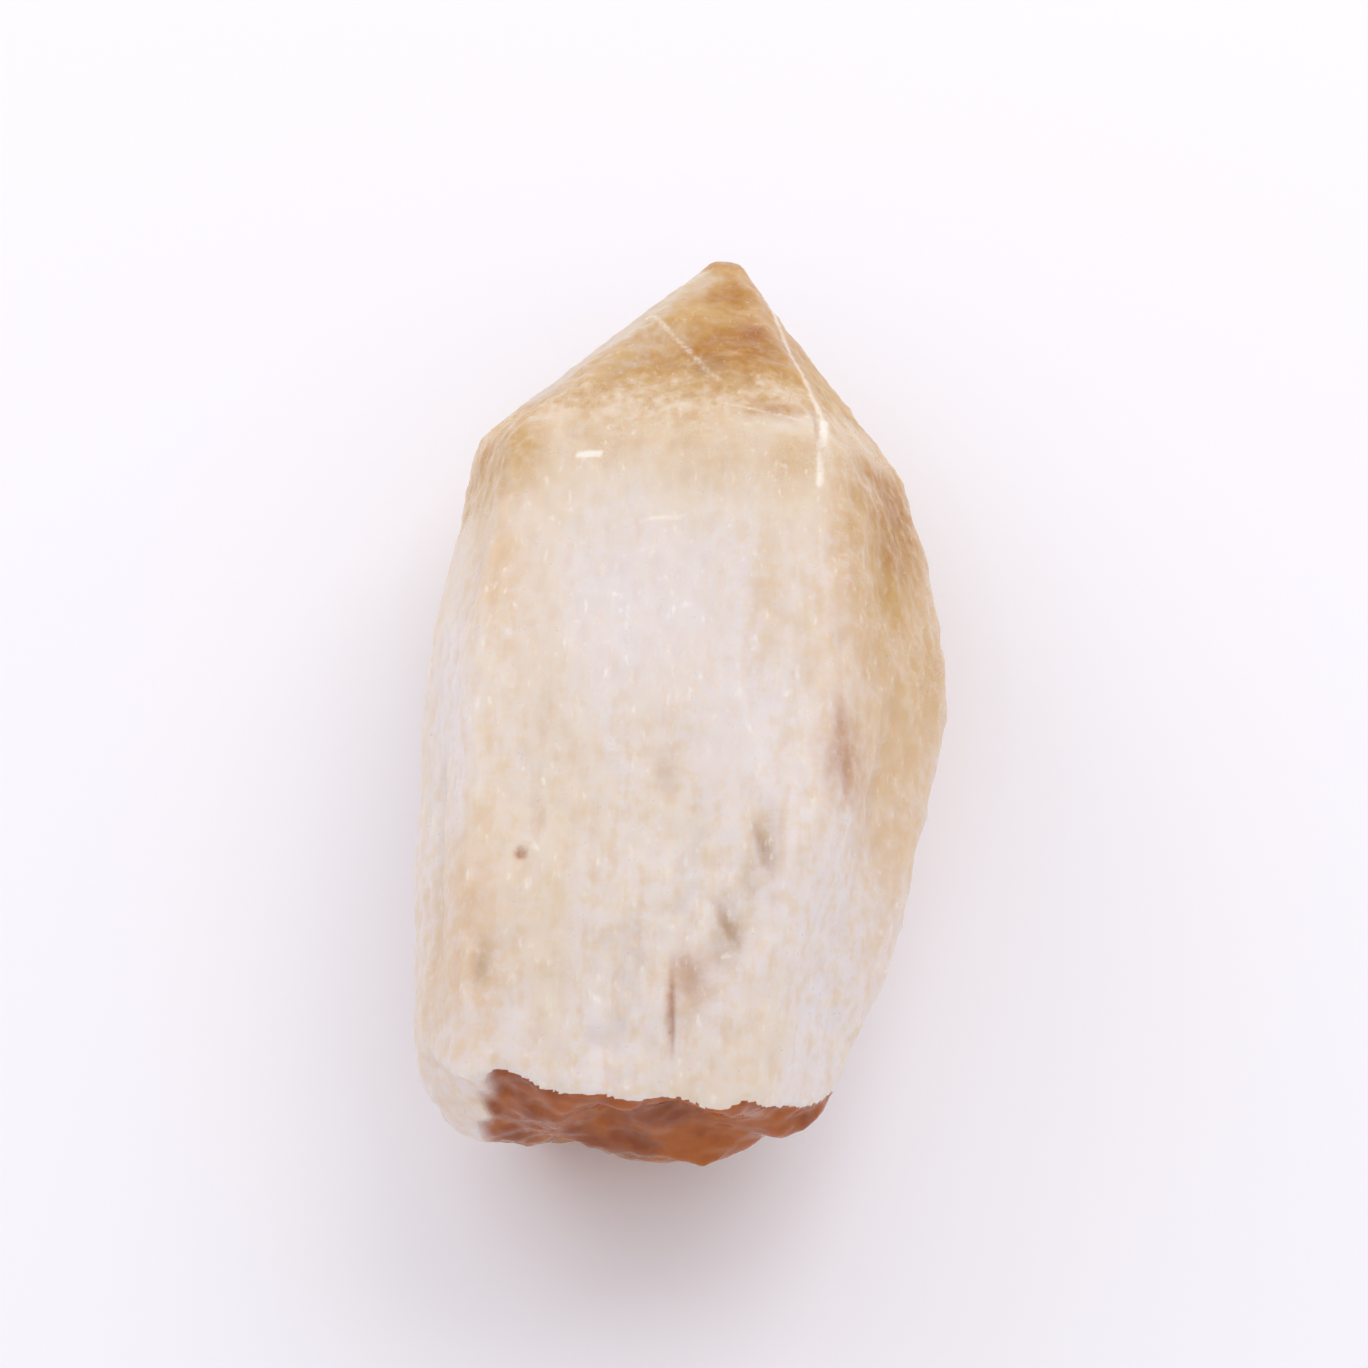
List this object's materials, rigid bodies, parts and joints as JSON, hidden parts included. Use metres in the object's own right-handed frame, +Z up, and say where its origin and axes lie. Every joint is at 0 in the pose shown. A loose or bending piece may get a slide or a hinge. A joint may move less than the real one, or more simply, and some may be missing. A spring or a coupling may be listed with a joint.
{
  "type": "citrine crystal point",
  "caption": "Raw citrine crystal point: a flattened six-sided prism with a six-faced amber tip, milky body and broken base, lying on one side.",
  "frame": {"origin": "centre of the underside of the crystal's bounding box, on the surface it lies on", "axes": "+Y along the crystal towards its tip, +Z up out of its broad upper face, +X to the right seen from the base"},
  "size_m": [0.0274, 0.054, 0.0187],
  "materials": {
    "citrine": "milky white to amber quartz, satin on the body, glossier on the tip, part see-through"
  },
  "bodies": {
    "root": {"citrine_point": "citrine"}
  },
  "joints": []
}
